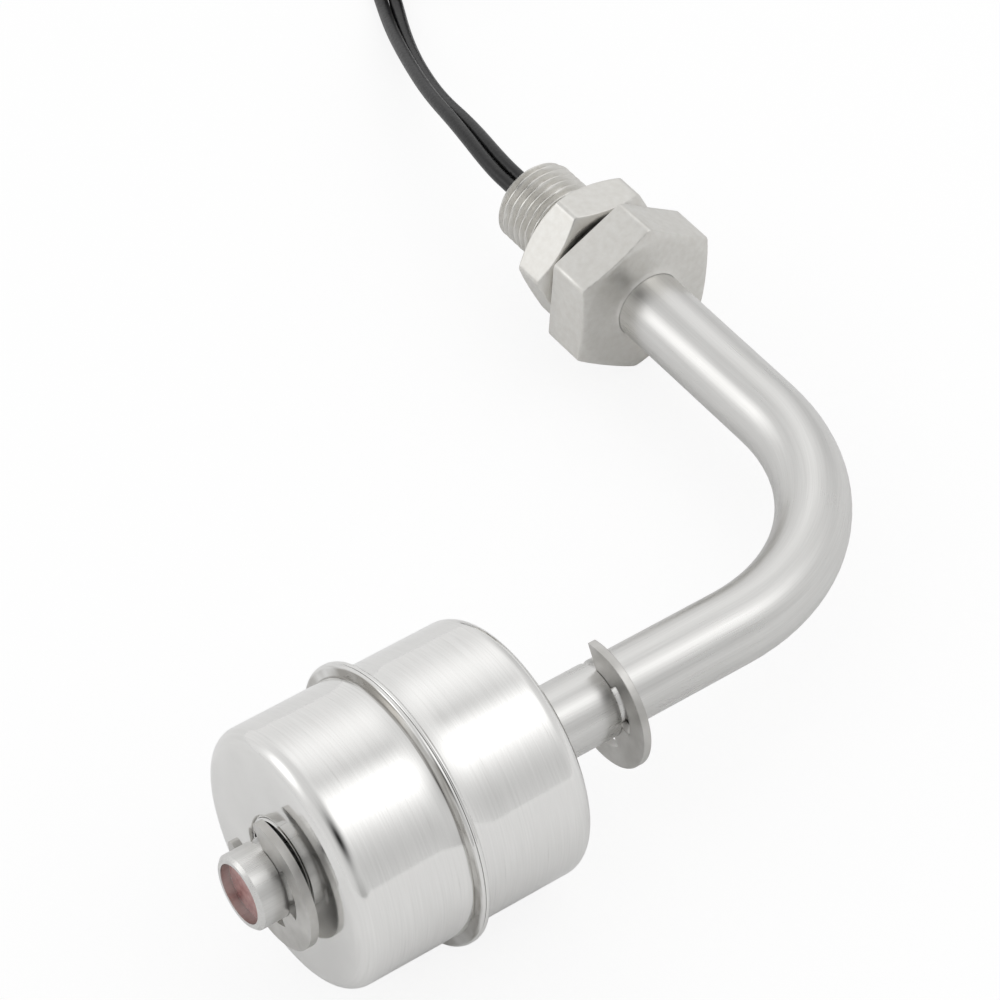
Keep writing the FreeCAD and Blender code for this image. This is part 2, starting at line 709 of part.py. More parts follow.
def make_free_leads(lying):
    """Both leads from the potting down to the surface, and the neat coil that their ends make."""
    mean_radius, width, height = (SIZES[name] for name in ("coil_mean_radius", "coil_width", "coil_height"))
    centre = Vector(SIZES["coil_centre_x"], SIZES["coil_centre_y"], 0)
    lead_radius = SIZES["lead_diameter"] / 2
    ring = Part.makeCylinder(mean_radius + width / 2, height, centre) \
        .cut(Part.makeCylinder(mean_radius - width / 2, height, centre))
    rims = [edge for edge in ring.Edges if isinstance(edge.Curve, Part.Circle)]
    ring = ring.makeFillet(lead_radius, rims)
    loose = [add_shape("lead_coil", ring)]
    along = lying.Rotation.multVec(Vector(1, 0, 0))
    for name, side, route in (("lead_a", 1, LEAD_ROUTE_A), ("lead_b", -1, LEAD_ROUTE_B)):
        start = lying.multVec(Vector(potting_face.number, SIZES["lead_spacing"] / 2 * side, 0))
        path, radii = lead_path([start, start + along * SIZES["lead_straight"], *route])
        section = Part.Wire(Part.Circle(start, along, lead_radius).toShape())
        tube = path.makePipeShell([section], True, False)
        expected = math.pi * lead_radius ** 2 * path.Length
        print(f"{name}: {path.Length:.1f} mm, arc radii {radii}, volume {tube.Volume:.2f} of {expected:.2f}")
        loose.append(add_shape(name, tube.cut(ring)))
    tip_radius = SIZES["lead_tip_diameter"] / 2
    tail_angle = math.radians(SIZES["lead_tip_turned"])
    for name, beyond in (("lead_tip_a", mean_radius + width / 2 - lead_radius),
                         ("lead_tip_b", mean_radius + width / 2 - lead_radius * 3)):
        outwards = Vector(math.cos(tail_angle), math.sin(tail_angle), 0)
        leaving = Vector(math.sin(tail_angle), -math.cos(tail_angle), 0)
        clear = math.sqrt((mean_radius + width / 2) ** 2 - beyond ** 2)
        foot = centre + outwards * beyond + Vector(0, 0, lead_radius)
        wire = Part.makeCylinder(tip_radius, clear + SIZES["lead_tip_length"], foot, leaving)
        loose.append(add_shape(name, wire.cut(ring)))
    return loose


# ---------------------------------------------------------------- laying the switch down


def resting_pose():
    """The upward direction, as seen on the arms, when the float and the head lie on a surface.

    The float touches with the rounded rim of its upper end and with its seam, the fitting with
    the lowest corner of its head.  The plane through the three touching points sets the upward
    direction, which moves the points a little, so the step is repeated until it settles.
    """
    rim_round, seam_round = SIZES["float_rim_radius"], SIZES["seam_rounding"]
    lift = SIZES["sleeve_bore"] / 2 - tube_radius.number - SIZES["bore_contact_gap"]
    corner_radius = SIZES["head_across_flats"] / math.sqrt(3)
    corner_start = head_back.number - math.sqrt(SIZES["head_dome_radius"] ** 2 - corner_radius ** 2)
    lowest = math.radians(SIZES["head_turned"] + 240)
    head_point = Vector(corner_start, corner_radius * math.cos(lowest), corner_radius * math.sin(lowest))
    upward = Vector(0, 0, 1)
    for _ in range(100):
        off_axis = Vector(upward.x, 0, upward.z).normalize()
        rim_point = Vector(0, float_rear.number + rim_round, 0) \
            - off_axis * (SIZES["float_diameter"] / 2 - rim_round - lift) - upward * rim_round
        seam_point = Vector(0, seam.number - SIZES["seam_flange"] + seam_round, 0) \
            - off_axis * (SIZES["float_diameter"] / 2 + SIZES["seam_height"] - seam_round - lift) \
            - upward * seam_round
        upward = (head_point - rim_point).cross(seam_point - rim_point).normalize()
        if upward.z < 0:
            upward = -upward
    height = -upward.dot(rim_point)
    return upward, height, off_axis * lift


def lay_down(bodies):
    """Give every body the one placement that lays the switch on z = 0 over the origin."""
    upward, height, lift = resting_pose()
    forward = Vector(1, 0, 0) - upward * upward.x
    forward.normalize()
    sideways = upward.cross(forward)
    turned = Rotation(forward, sideways, upward, "ZXY").inverted()
    lying = Placement(Vector(0, 0, height), turned)
    shifts = {}
    for body in bodies:
        shift = Vector()
        if body.Name.startswith("float"):
            shift = lift
        if body.Name.startswith("reed") or body.Name.startswith("solder"):
            shift = Vector(-SIZES["reed_offset"], 0, 0)
        shifts[body.Name] = Placement(shift, Rotation())
        body.Placement = lying.multiply(shifts[body.Name])
    boxes = [body.Shape.optimalBoundingBox(False, False) for body in bodies]
    middle = Vector((min(box.XMin for box in boxes) + max(box.XMax for box in boxes)) / 2,
                    (min(box.YMin for box in boxes) + max(box.YMax for box in boxes)) / 2, 0)
    lying = Placement(Vector(0, 0, height) - middle, turned)
    for body in bodies:
        body.Placement = lying.multiply(shifts[body.Name])
    return lying


def export(sub_parts):
    document.recompute()
    for item in document.Objects:
        if "Invalid" in item.State or "Error" in item.State:
            raise RuntimeError(f"{item.Name} could not be built: {item.State}")
    for sub_part in sub_parts:
        if sub_part.Shape.isNull() or not sub_part.Shape.isValid() or sub_part.Shape.Volume <= 0:
            raise RuntimeError(f"{sub_part.Label} is not a sound solid")
    os.makedirs("parts", exist_ok=True)
    for sub_part in sub_parts:
        sub_part.Shape.exportStep(f"parts/{sub_part.Label}.step")
        print(f"{sub_part.Label}: {len(sub_part.Shape.Solids)} solid, {sub_part.Shape.Volume:.2f} mm3")


make_stem_tube()
make_tip()
make_threaded_fitting()
make_sealing_washer()
make_lock_nut()
make_clip("upper_clip", upper_clip_front, cell("upper_clip_turned"))
make_clip("lower_clip", lower_clip_front, cell("lower_clip_turned"))
make_float()
make_reed_switch()
make_inner_wiring()
lying = lay_down(pieces)
flat_angle = math.radians(SIZES["head_turned"] + 30)
flat_way = Vector(0, math.cos(flat_angle), math.sin(flat_angle))
flat_middle = flat_way * (SIZES["head_across_flats"] / 2)
flat_middle.x = (head_face.number + head_back.number) / 2
for name, point, direction in (("thread end", Vector(thread_end.number, 0, 0), Vector(1, 0, 0)),
                               ("head's flat", flat_middle, flat_way),
                               ("head's sealing face", Vector(head_back.number, 0, 0), Vector(1, 0, 0)),
                               ("tip", Vector(0, tip_end.number, 0), Vector(0, 1, 0)),
                               ("lead a's exit", Vector(potting_face.number, SIZES["lead_spacing"] / 2, 0),
                                Vector(1, 0, 0))):
    place, way = lying.multVec(point), lying.Rotation.multVec(direction)
    print(f"{name}: at {place.x:.4f}, {place.y:.4f}, {place.z:.4f}, "
          f"along {way.x:.6f}, {way.y:.6f}, {way.z:.6f}")
export(pieces + make_free_leads(lying))
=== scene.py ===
import json
import math

import bpy
from mathutils import Matrix, Vector


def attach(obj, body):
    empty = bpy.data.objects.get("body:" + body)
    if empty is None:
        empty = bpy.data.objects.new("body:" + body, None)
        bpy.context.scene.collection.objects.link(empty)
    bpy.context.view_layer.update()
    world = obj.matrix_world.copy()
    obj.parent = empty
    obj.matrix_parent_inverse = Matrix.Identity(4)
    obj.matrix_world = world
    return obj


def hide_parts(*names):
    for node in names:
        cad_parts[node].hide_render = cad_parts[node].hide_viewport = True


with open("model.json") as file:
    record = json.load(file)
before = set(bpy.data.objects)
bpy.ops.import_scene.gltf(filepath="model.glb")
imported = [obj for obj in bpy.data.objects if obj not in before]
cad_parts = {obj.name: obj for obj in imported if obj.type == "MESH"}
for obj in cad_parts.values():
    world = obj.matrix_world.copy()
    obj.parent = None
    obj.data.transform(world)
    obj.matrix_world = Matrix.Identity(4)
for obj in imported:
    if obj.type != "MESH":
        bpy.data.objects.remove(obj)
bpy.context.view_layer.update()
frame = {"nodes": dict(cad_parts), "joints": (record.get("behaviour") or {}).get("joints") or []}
scene = bpy.context.scene
nodes = frame["nodes"]
joints = {joint["name"]: joint for joint in frame["joints"]}

# ---------------------------------------------------------------- the two arms

# The switch's thread arm runs along `across` and its float arm along `forth`.  Both start at
# `corner`, where the tube's axes meet.  `arms` turns places measured on the arms into the frame.
THREAD_END, NUT_MARK_TO_END = 0.064, 0.011
across = Vector(joints["nut_turn"]["axis"]).normalized()
forth = Vector(joints["float_slide"]["axis"])
forth = (forth - across * forth.dot(across)).normalized()
outward = across.cross(forth)
thread_end = Vector(joints["nut_turn"]["pos_m"]) + across * NUT_MARK_TO_END
corner = thread_end - across * THREAD_END
arms = Matrix.Translation(corner) @ Matrix((across, forth, outward)).transposed().to_4x4()

# ---------------------------------------------------------------- bent tube and its tip

# One drawn 8 mm steel tube, bent cold and left satin, so long fine streaks follow it round its
# bend.  A disc closes the lower end, and a drop of red lacquer seals it in.
BEND_RADIUS = 0.022


class Value:
    """An output in a node tree that can be reckoned with like a number."""

    def __init__(self, tree, socket):
        self.tree = tree
        self.socket = socket

    def node(self, kind, settings, inputs, output=0):
        """A node of a kind, with its settings first and then its sockets' values or links."""
        made = self.tree.nodes.new(kind)
        for setting, amount in settings.items():
            setattr(made, setting, amount)
        for name, term in inputs.items():
            if isinstance(term, Value):
                self.tree.links.new(term.socket, made.inputs[name])
            else:
                made.inputs[name].default_value = term
        return Value(self.tree, made.outputs[output])

    def math(self, operation, *others):
        return self.node("ShaderNodeMath", {"operation": operation}, dict(enumerate((self, *others))))

    def __add__(self, other):
        return self.math("ADD", other)

    __radd__ = __add__

    def __sub__(self, other):
        return self.math("SUBTRACT", other)

    def __rsub__(self, other):
        return self * -1.0 + other

    def __mul__(self, other):
        return self.math("MULTIPLY", other)

    __rmul__ = __mul__

    def dot(self, direction):
        return self.node("ShaderNodeVectorMath", {"operation": "DOT_PRODUCT"},
                         {0: self, 1: tuple(direction)}, "Value")

    def along(self, point, direction):
        """How far a place lies from a point, measured along one direction."""
        return self.dot(direction) - point.dot(direction)

    def vector(self, x, y, z):
        return self.node("ShaderNodeCombineXYZ", {}, {"X": x, "Y": y, "Z": z})

    def noise(self, scale, detail=2.0, roughness=0.5):
        return self.node("ShaderNodeTexNoise", {},
                         {"Vector": self, "Scale": scale, "Detail": detail, "Roughness": roughness}, "Fac")

    def ramp(self, stops):
        """Colours at positions, blended smoothly."""
        made = self.tree.nodes.new("ShaderNodeValToRGB")
        elements = made.color_ramp.elements
        while len(elements) < len(stops):
            elements.new(0.5)
        for element, (position, colour) in zip(elements, stops):
            element.position = position
            element.color = (*colour, 1)
        self.tree.links.new(self.socket, made.inputs["Fac"])
        return Value(self.tree, made.outputs["Color"])

    def spread(self, low, high):
        return self.node("ShaderNodeMapRange", {}, {"Value": self, "To Min": low, "To Max": high})

    def bump(self, distance, strength=1.0):
        return self.node("ShaderNodeBump", {}, {"Height": self, "Distance": distance, "Strength": strength},
                         "Normal")


def start_material(name, **constants):
    """A material with constant settings, and the place on the surface in metres."""
    material = bpy.data.materials.new(name)
    material.use_nodes = True
    shader = material.node_tree.nodes["Principled BSDF"]
    for setting, amount in constants.items():
        shader.inputs[setting.replace("_", " ")].default_value = amount
    coordinates = material.node_tree.nodes.new("ShaderNodeTexCoord")
    return material, Value(material.node_tree, coordinates.outputs["Object"])


def vary(material, **values):
    """Link what changes over a surface to the shader's sockets of those names."""
    shader = material.node_tree.nodes["Principled BSDF"]
    for setting, value in values.items():
        material.node_tree.links.new(value.socket, shader.inputs[setting.replace("_", " ")])


def dress(material, *names):
    """Give solids of the part a material."""
    for name in names:
        mesh = nodes[name].data
        mesh.materials.clear()
        mesh.materials.append(material)


satin, place = start_material("satin_steel", Metallic=1.0)
on_thread, on_float = place.along(corner, across), place.along(corner, forth)
past_thread = (BEND_RADIUS - on_thread).math("MAXIMUM", 0.0)
past_float = (BEND_RADIUS - on_float).math("MAXIMUM", 0.0)
sideways = BEND_RADIUS - (past_thread * past_thread + past_float * past_float).math("SQRT")
streaks = place.vector(sideways * 1.0, place.along(corner, outward) * 1.0, (on_thread - on_float) * 0.02)
fine, broad, smudge = streaks.noise(7000, 3), streaks.noise(1500, 2), place.noise(140, 3)
vary(satin,
     Base_Color=(fine * 0.5 + broad * 0.5).ramp([(0.3, (0.66, 0.655, 0.64)), (0.7, (0.76, 0.755, 0.74))]),
     Roughness=(fine * 0.5 + smudge * 0.5).spread(0.22, 0.36),
     Normal=(fine + broad).bump(0.000006))
dress(satin, "stem_tube", "tip_plug")

lacquer, place = start_material("red_lacquer", Coat_Weight=0.6, Coat_Roughness=0.12, IOR=1.5)
cloud = place.noise(700, 3)
vary(lacquer,
     Base_Color=cloud.ramp([(0.3, (0.28, 0.07, 0.065)), (0.7, (0.52, 0.26, 0.24))]),
     Roughness=cloud.spread(0.12, 0.35),
     Normal=cloud.bump(0.00015))
dress(lacquer, "tip_sealant")

# ---------------------------------------------------------------- parts inside

# The reed contact in its glass and sleeve, its wires and solder, the resin that closes the tube,
# and the float's ring magnet.  Each has its own plain finish with a little grain.
for name, low, high, metallic, roughness, grain, parts in (
        ("ferrite", (0.05, 0.05, 0.055), (0.10, 0.10, 0.11), 0.3, 0.6, 2500, ["float_magnet"]),
        ("reed_alloy", (0.55, 0.53, 0.48), (0.66, 0.64, 0.60), 1.0, 0.25, 3000,
         ["reed_blade_near", "reed_blade_far"]),
        ("shrink_tube", (0.020, 0.020, 0.020), (0.035, 0.035, 0.035), 0.0, 0.45, 1500, ["reed_sleeve"]),
        ("inner_insulation", (0.012, 0.012, 0.013), (0.024, 0.024, 0.026), 0.0, 0.4, 1800,
         ["inner_lead_a", "inner_lead_b"]),
        ("black_resin", (0.010, 0.010, 0.010), (0.022, 0.022, 0.022), 0.0, 0.15, 800, ["potting_plug"]),
        ("solder", (0.55, 0.55, 0.55), (0.75, 0.75, 0.75), 1.0, 0.3, 2500, ["solder_near", "solder_far"])):
    material, place = start_material(name, Metallic=metallic)
    speckle = place.noise(grain, 3)
    vary(material,
         Base_Color=speckle.ramp([(0.3, low), (0.7, high)]),
         Roughness=speckle.spread(roughness * 0.8, roughness * 1.2),
         Normal=speckle.bump(0.00002))
    dress(material, *parts)

glass, place = start_material("clear_glass", Transmission_Weight=0.9, IOR=1.5)
bubble = place.noise(600, 2)
vary(glass,
     Base_Color=bubble.ramp([(0.3, (0.75, 0.88, 0.80)), (0.7, (0.82, 0.92, 0.86))]),
     Roughness=bubble.spread(0.02, 0.08),
     Normal=bubble.bump(0.00001))
dress(glass, "reed_glass")

# ---------------------------------------------------------------- float

# Two drawn steel cans, welded rim to rim on an inner sleeve and polished nearly to a mirror, with
# faint rings round the axis and painted shade in the narrow creases beside the weld bead.  The float
# stands on the surface and the tube lies in its bore, so the float's axis is a little above the tube's.
FLOAT_REAR, FLOAT_FRONT, SEAM = 0.049, 0.076, 0.063
CAN_RADIUS, CAN_WALL, CAN_HOLE, CAN_ROUND, BEAD_RADIUS = 0.0138, 0.00025, 0.00503, 0.0019, 0.0151
SEAM_EDGE, CREASE_SHADE_HALF_WIDTH = 0.0006, 0.0004
FLOAT_LIFT, CAN_STEPS = 0.0007, 160


def add_piece(name, mesh, material, body):
    """A piece of the scene that rides on a body of the part."""
    piece = bpy.data.objects.new(name, mesh)
    scene.collection.objects.link(piece)
    mesh.materials.append(material)
    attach(piece, body)
    return piece


def closed_grid(name, rows, closed_rows=True, sharp=35.0):
    """A smooth mesh over rows of equally many points, each row a closed ring."""
    count = len(rows[0])
    mesh = bpy.data.meshes.new(name)
    faces = []
    for index in range(len(rows) if closed_rows else len(rows) - 1):
        here, there = index * count, (index + 1) % len(rows) * count
        for step in range(count):
            after = (step + 1) % count
            faces.append((here + step, here + after, there + after, there + step))
    if not closed_rows:
        faces.append(tuple(reversed(range(count))))
        faces.append(tuple(range((len(rows) - 1) * count, len(rows) * count)))
    mesh.from_pydata([point for row in rows for point in row], [], faces)
    mesh.shade_smooth()
    mesh.set_sharp_from_angle(angle=math.radians(sharp))
    return mesh


def can_profile(end, inwards):
    """(Station, radius) points of one can's thin wall, out along its outside and back inside."""
    profile = [(end + inwards * 0.00018, CAN_HOLE), (end + inwards * 0.0001, CAN_HOLE + 0.00012),
               (end, CAN_HOLE + 0.0004)]
    for step in range(11):
        turned = math.pi / 2 * step / 10
        profile.append((end + inwards * CAN_ROUND * (1 - math.cos(turned)),
                        CAN_RADIUS - CAN_ROUND * (1 - math.sin(turned))))
    root, top = SEAM - inwards * 0.00055, SEAM - inwards * 0.00012
    profile += [(root - inwards * 0.0025, CAN_RADIUS), (root - inwards * 0.0002, CAN_RADIUS),
                (root - inwards * 0.00006, CAN_RADIUS + 0.00006), (root, CAN_RADIUS + 0.0002),
                (root, BEAD_RADIUS - 0.0004), (root + inwards * 0.00005, BEAD_RADIUS - 0.0002),
                (root + inwards * 0.00016, BEAD_RADIUS - 0.00006), (top - inwards * 0.00008, BEAD_RADIUS),
                (top, BEAD_RADIUS - 0.00002), (SEAM - inwards * 0.00002, BEAD_RADIUS - 0.00012),
                (SEAM - inwards * 0.00002, CAN_RADIUS - CAN_WALL)]
    inner = CAN_ROUND - CAN_WALL
    for step in range(7):
        turned = math.pi / 2 * (1 - step / 6)
        profile.append((end + inwards * (CAN_ROUND - inner * math.cos(turned)),
                        CAN_RADIUS - CAN_ROUND + inner * math.sin(turned)))
    profile.append((end + inwards * CAN_WALL, CAN_HOLE))
    return profile


mirror, place = start_material("polished_steel", Metallic=1.0)
rings = place.vector(place.along(corner, forth) * 1.0, place.along(corner, across) * 0.03,
                     place.along(corner, outward) * 0.03)
buffing, waves, haze = rings.noise(5200, 3), rings.noise(260, 1), place.noise(170, 3)
# Painted shade: the base colour darkens in narrow bands where the weld bead rises from each can.
beside_seam = ((place.along(corner, forth) - SEAM).math("ABSOLUTE") - SEAM_EDGE).math("ABSOLUTE")
crease_shade = (1 - beside_seam * (1 / CREASE_SHADE_HALF_WIDTH)).math("MAXIMUM", 0.0)
vary(mirror,
     Base_Color=(buffing - crease_shade * 0.42).ramp([(0.05, (0.36, 0.345, 0.32)), (0.3, (0.80, 0.795, 0.78)),
                                             (0.7, (0.86, 0.855, 0.84))]),
     Roughness=(buffing * 0.4 + haze * 0.6).spread(0.07, 0.15),
     Normal=(buffing * 0.08 + waves * 6.0).bump(0.000006))
dress(mirror, "float_sleeve")

lift = Vector((across.z, 0, outward.z)).normalized() * FLOAT_LIFT
for name, end, inwards in (("upper", FLOAT_REAR, 1), ("lower", FLOAT_FRONT, -1)):
    angles = [inwards * math.tau * step / CAN_STEPS for step in range(CAN_STEPS)]
    rows = [[arms @ (lift + Vector((reach * math.sin(angle), station, reach * math.cos(angle))))
             for angle in angles] for station, reach in can_profile(end, inwards)]
    can = add_piece(f"{name}_can", closed_grid(f"{name}_can", rows), mirror, "float")
    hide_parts(f"float_{name}_shell")

# ---------------------------------------------------------------- clips

# Spring steel rings, stamped and tumbled, that snap into grooves of the tube on each side of the
# float.  The upper one has a wide mouth, a lug at its back and one on each prong.
CLIP_BACK, CLIP_THICK, CLIP_TURNED, CLIP_MOUTH = 0.0378, 0.0009, 27, 46
CLIP_RADIUS, CLIP_SET_BACK, CLIP_LUG, CLIP_RELIEF = 0.00715, 0.00045, 0.0035, 0.0051
spring_steel, place = start_material("spring_steel", Metallic=1.0)
tumbled = place.noise(1800, 3)
vary(spring_steel,
     Base_Color=place.noise(350, 2).ramp([(0.3, (0.50, 0.49, 0.47)), (0.7, (0.66, 0.65, 0.63))]),
     Roughness=tumbled.spread(0.26, 0.44),
     Normal=tumbled.bump(0.000012))
dress(spring_steel, "lower_clip")

outline = []
for step in range(73):
    angle = math.radians(CLIP_TURNED + CLIP_MOUTH + (360 - 2 * CLIP_MOUTH) * step / 72)
    set_back = CLIP_SET_BACK * math.cos(angle - math.radians(CLIP_TURNED))
    outline.append((math.sqrt(CLIP_RADIUS ** 2 - CLIP_SET_BACK ** 2 + set_back ** 2) - set_back, angle))
for first, last, reach in ((302, 268, CLIP_LUG), (267, 201, CLIP_RELIEF), (200, 160, CLIP_LUG),
                           (159, 93, CLIP_RELIEF), (92, 58, CLIP_LUG)):
    for step in range(13):
        outline.append((reach, math.radians(CLIP_TURNED + first + (last - first) * step / 12)))
rows = [[arms @ Vector((reach * math.cos(angle), station, reach * math.sin(angle)))
         for reach, angle in outline] for station in (CLIP_BACK + CLIP_THICK, CLIP_BACK)]
clip = add_piece("stamped_clip_upper", closed_grid("stamped_clip_upper", rows, False), spring_steel,
                 "stem")
edge = clip.modifiers.new("edge", "BEVEL")
edge.width, edge.segments, edge.limit_method = 0.00008, 2, "ANGLE"
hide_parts("upper_clip")

# ---------------------------------------------------------------- threaded fitting

# Hexagon head with a nearly flat back and a fine threaded stub, turned from one bar and welded
# to the tube.  Its grid's radius follows the hexagon on some rows and the thread on others.
SEALING_FACE, TUBE_IN_HEAD = 0.049, 0.0468
HEAD_FLATS, HEAD_TURNED, HEAD_ROUND = 0.017, 33, 0.0003
SOCKET, BORE = 0.00404, 0.0035
THREAD_PITCH, THREAD_MAJOR, THREAD_MINOR, THREAD_LEAD_IN, STUB_STEPS = 0.001, 0.005, 0.00439, 0.0006, 120
WELD = [(0.0426, 0.00403), (0.04272, 0.0042), (0.04284, 0.0045), (0.04293, 0.0050), (0.04301, 0.0057),
        (0.04308, 0.0066), (0.04314, 0.0075)]
HEAD_EDGE = [(0.0432, 0.0081), (0.04326, 0.00835), (0.04333, 0.00855), (0.0434, 0.0088),
             (0.04347, 0.0091), (0.04356, 0.0094), (0.04367, 0.0097), (0.0438, 0.0100), (0.0468, 0.011)]


def hexagon_radius(across_flats, turned, angle):
    """The distance from a hexagon's middle to its side, with the corners slightly rounded."""
    from_corner = abs((math.degrees(angle) - turned + 30) % 60 - 30)
    plain = across_flats / 2 / math.cos(math.radians(30 - from_corner))
    return plain - 0.00012 * max(1 - from_corner / 2.2, 0) ** 2


def blend_low(first, second, width):
    """The lower of two radii, with a small rounding where they meet."""
    apart = max(width - abs(first - second), 0) / width
    return min(first, second) - apart * apart * width / 4


def thread_radius(station, angle, major, minor):
    """Rounded helical ridges: a right-hand thread advances once a pitch as it turns."""
    phase = (station / THREAD_PITCH - angle / math.tau) % 1
    ridge = min(max((1 - abs(phase * 2 - 1)) * 1.35 - 0.12, 0), 1)
    return minor + (major - minor) * ridge


def turn_columns(turned):
    """Angles round the axis, closer together near a hexagon's corners."""
    share = [0, 0.7, 1.5, 2.4, 4, 6, 8.5, 11, 13.5, 16, 19, 22, 25, 28, 30]
    offsets = share[:-1] + [60 - offset for offset in reversed(share[1:])]
    return [math.radians(turned + 60 * side + offset) for side in range(6) for offset in offsets]


def turned_rows(columns, profile):
    """Rows of points from (station, radius at an angle) pairs."""
    rows = []
    for station, radius in profile:
        row = []
        for angle in columns:
            reach = radius(angle) if callable(radius) else radius
            row.append(arms @ Vector((station, reach * math.cos(angle), reach * math.sin(angle))))
        rows.append(row)
    return rows


turned_steel, place = start_material("turned_steel", Metallic=1.0)
ring = place.vector(place.along(corner, across) * 1.0, place.along(corner, forth) * 0.12,
                    place.along(corner, outward) * 0.12)
cutting, mottle = ring.noise(9000, 2), place.noise(1300, 4)
vary(turned_steel,
     Base_Color=mottle.ramp([(0.3, (0.70, 0.685, 0.65)), (0.7, (0.76, 0.75, 0.72))]),
     Roughness=(mottle * 0.4 + cutting * 0.6).spread(0.28, 0.42),
     Normal=(cutting + mottle).bump(0.000008))

head = list(WELD)
for station, reach in HEAD_EDGE:
    head.append((station, lambda angle, reach=reach: blend_low(
        hexagon_radius(HEAD_FLATS, HEAD_TURNED, angle), reach, HEAD_ROUND)))
for before, gone in ((0.0002, 0.0), (0.00006, 0.00006), (0.0, 0.0002)):
    head.append((SEALING_FACE - before, lambda angle, gone=gone:
                 hexagon_radius(HEAD_FLATS, HEAD_TURNED, angle) - gone))
head.append((SEALING_FACE, THREAD_MAJOR - 0.00025))
stub_start = SEALING_FACE + 0.0003
for step in range(STUB_STEPS + 1):
    station = stub_start + (THREAD_END - stub_start) * step / STUB_STEPS
    top = min(THREAD_MAJOR, THREAD_MAJOR - THREAD_LEAD_IN + (THREAD_END - station))
    head.append((station, lambda angle, station=station, top=top:
                 min(thread_radius(station, angle, THREAD_MAJOR, THREAD_MINOR), top)))
head += [(THREAD_END, BORE + 0.0003), (THREAD_END - 0.0003, BORE), (TUBE_IN_HEAD, BORE),
         (TUBE_IN_HEAD, SOCKET), (0.04272, SOCKET - 0.00003)]
head_mesh = closed_grid("turned_fitting", turned_rows(turn_columns(HEAD_TURNED), head))
fitting = add_piece("turned_fitting", head_mesh, turned_steel, "stem")
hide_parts("threaded_fitting")

# ---------------------------------------------------------------- seal and nut

# A flat ring of moulded rubber, dull black with a little bloom, lies on the head's sealing face.
# A hexagon nut of the same turned steel clamps the tank's wall against it.  Each of the nut's ends
# is chamfered to the form of a ball, so its corners are turned down.
NUT_BACK, NUT_FRONT, NUT_FLATS, NUT_TURNED = 0.0506, 0.0556, 0.015, 6
NUT_BALL, NUT_DEPTH, NUT_ROUND, NUT_FACE_RADIUS = 0.0157, 0.014, 0.00012, 0.0060
NUT_THREAD_MAJOR, NUT_THREAD_MINOR, NUT_SINK, NUT_THREAD_STEPS = 0.0054, 0.00508, 0.0005, 32

rubber, place = start_material("black_rubber", Specular_IOR_Level=0.4)
bloom = place.noise(900, 3)
vary(rubber,
     Base_Color=bloom.ramp([(0.35, (0.014, 0.014, 0.013)), (0.75, (0.040, 0.039, 0.036))]),
     Roughness=bloom.spread(0.55, 0.75),
     Normal=bloom.bump(0.00003))
dress(rubber, "sealing_washer")


def domed_hexagon(station, centre, gone):
    """The nut's radius at a station, where a ball about `centre` turns its corners down."""
    dome = math.sqrt(NUT_BALL ** 2 - (station - centre) ** 2) - gone
    return lambda angle: blend_low(hexagon_radius(NUT_FLATS, NUT_TURNED, angle) - gone, dome, NUT_ROUND)


nut = []
for face, inwards in ((NUT_BACK, 1), (NUT_FRONT, -1)):
    side = [(face, NUT_FACE_RADIUS)]
    runs = [(0, 0.00015), (0.00006, 0.00004)] + [(0.00013 + 0.00004 * step, 0.0) for step in range(22)]
    for run, gone in runs:
        station = face + inwards * run
        side.append((station, domed_hexagon(station, face + inwards * NUT_DEPTH, gone)))
    nut += side if inwards > 0 else side[::-1]
nut.append((NUT_FRONT - NUT_SINK, NUT_THREAD_MINOR))
for step in range(NUT_THREAD_STEPS + 1):
    station = NUT_FRONT - NUT_SINK - (NUT_FRONT - NUT_BACK - 2 * NUT_SINK) * step / NUT_THREAD_STEPS
    nut.append((station, lambda angle, station=station:
                thread_radius(station, angle, NUT_THREAD_MAJOR, NUT_THREAD_MINOR)))
nut.append((NUT_BACK + NUT_SINK, NUT_THREAD_MINOR))
nut_mesh = closed_grid("turned_nut", turned_rows(turn_columns(NUT_TURNED), nut))
lock_nut = add_piece("turned_nut", nut_mesh, turned_steel, "nut")
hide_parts("lock_nut")

# ---------------------------------------------------------------- leads

# Two soft single leads leave the bore side by side, sag to the surface and run on together
# into a tied coil of five turns, where their stripped and tinned ends lie free.
LEAD_RADIUS, LEAD_EXIT, LEAD_BESIDE = 0.0008, 0.0625, 0.00085
COIL_CENTRE = Vector((0.0974, -0.0638, 0))
COIL_ENTRY, COIL_END, POINTS_A_TURN = 66.3, -1830.0, 16
LAYER_STEP_START, LAYER_STEP_SECTOR = -200, 65
ROUTES = {
    "a": [(0.0552, -0.0367, 0.0105), (0.0643, -0.0387, 0.0082), (0.0734, -0.0417, 0.0055),
          (0.0814, -0.0447, 0.0030), (0.0891, -0.0481, 0.0008), (0.0973, -0.0517, 0.0008)],
    "b": [(0.0548, -0.0383, 0.0097), (0.0637, -0.0399, 0.0070), (0.0726, -0.0427, 0.0043),
          (0.0806, -0.0459, 0.0020), (0.0883, -0.0496, 0.0008), (0.0966, -0.0533, 0.0008)],
}
COIL_LAYERS = {
    "a": [(0.0109, 0.0008), (0.0077, 0.0008), (0.0085, 0.00219), (0.0101, 0.00219),
          (0.0109, 0.00357), (0.0109, 0.00357)],
    "b": [(0.0093, 0.0008), (0.0061, 0.0008), (0.0069, 0.00219), (0.0061, 0.00357),
          (0.0077, 0.00357), (0.0093, 0.00357)],
}
LEAVING, BESIDE_LEAVING = Vector((-0.5, -0.866, 0)), Vector((0.866, -0.5, 0))
TAILS = {"a": [(0.0035, 0.0030), (0.007, 0.0014), (0.0095, 0.0008), (0.012, 0.0008)],
         "b": [(0.004, 0.0030), (0.008, 0.0016), (0.012, 0.0008), (0.020, 0.0008)]}
